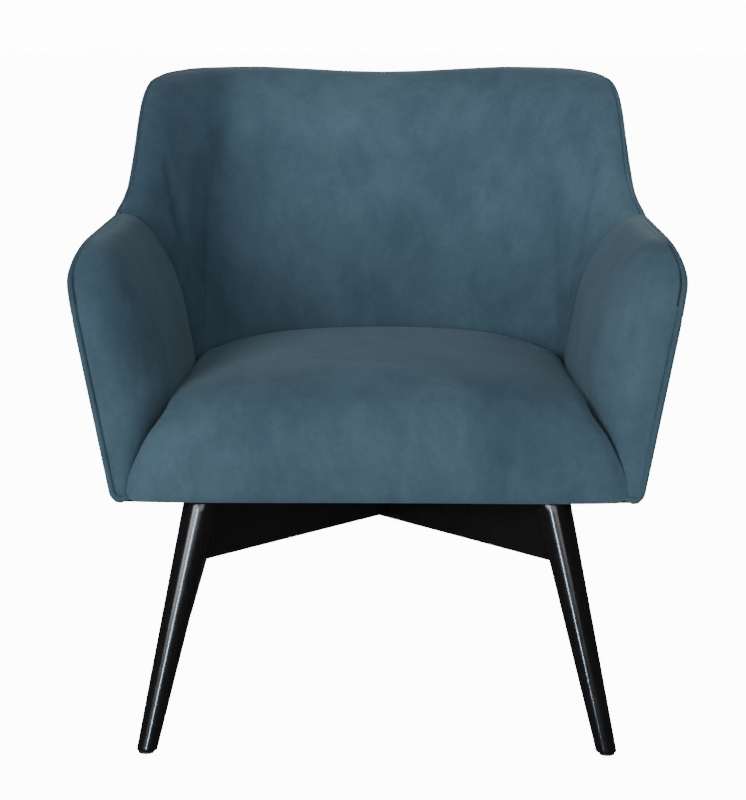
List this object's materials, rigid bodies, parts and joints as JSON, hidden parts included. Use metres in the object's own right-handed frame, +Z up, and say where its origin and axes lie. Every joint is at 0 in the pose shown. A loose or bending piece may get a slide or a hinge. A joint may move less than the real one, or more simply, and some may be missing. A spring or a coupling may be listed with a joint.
{
  "type": "upholstered armchair",
  "caption": "Upholstered tub armchair with a padded seat, low flared arms and a curved back, on splayed tapered wooden legs joined by crossed boards.",
  "frame": {"origin": "on the floor under the middle of the chair's outline", "axes": "+Z up, +X across the chair, the chair faces -Y"},
  "size_m": [0.711, 0.6726, 0.7571],
  "materials": {
    "beech": "bare beech",
    "black_lacquer": "high gloss black lacquer",
    "felt": "needled felt",
    "foam": "open-cell foam",
    "glide_plastic": "matte",
    "hardboard": "bare hardboard",
    "lining": "thin black lining",
    "plated_steel": "zinc plated",
    "plywood": "bare plywood",
    "velvet": "matt blue velvet",
    "webbing": "woven elastic",
    "welt_velvet": "matt blue velvet"
  },
  "bodies": {
    "root": {"arm_foam_left": "foam", "arm_foam_right": "foam", "arm_inside_cover_left": "velvet", "arm_inside_cover_right": "velvet", "arm_outside_cover_left": "velvet", "arm_outside_cover_right": "velvet", "arm_post_left": "beech", "arm_post_right": "beech", "arm_rail_left": "beech", "arm_rail_right": "beech", "arm_side_panel_left": "plywood", "arm_side_panel_right": "plywood", "arm_welt_left": "welt_velvet", "arm_welt_right": "welt_velvet", "back_backing_board": "hardboard", "back_foam_centre": "foam", "back_foam_left": "foam", "back_foam_right": "foam", "back_inside_cover": "velvet", "back_outside_cover": "velvet", "back_post_left": "beech", "back_post_right": "beech", "back_rail_lumbar": "beech", "back_rail_top": "beech", "back_webbing": "webbing", "corner_block_rear_left": "beech", "corner_block_rear_right": "beech", "corner_blocks_front": "beech", "cross_board_a": "black_lacquer", "cross_board_b": "black_lacquer", "dust_cover": "lining", "foot_glides": "glide_plastic", "frame_screws": "plated_steel", "leg_bolts": "plated_steel", "leg_dowels": "beech", "leg_front_left": "black_lacquer", "leg_front_right": "black_lacquer", "leg_rear_left": "black_lacquer", "leg_rear_right": "black_lacquer", "seat_cover": "velvet", "seat_felt": "felt", "seat_foam": "foam", "seat_rail_front": "beech", "seat_rail_left": "beech", "seat_rail_rear": "beech", "seat_rail_right": "beech", "seat_springs": "plated_steel", "spring_clips": "plated_steel"}
  },
  "joints": []
}
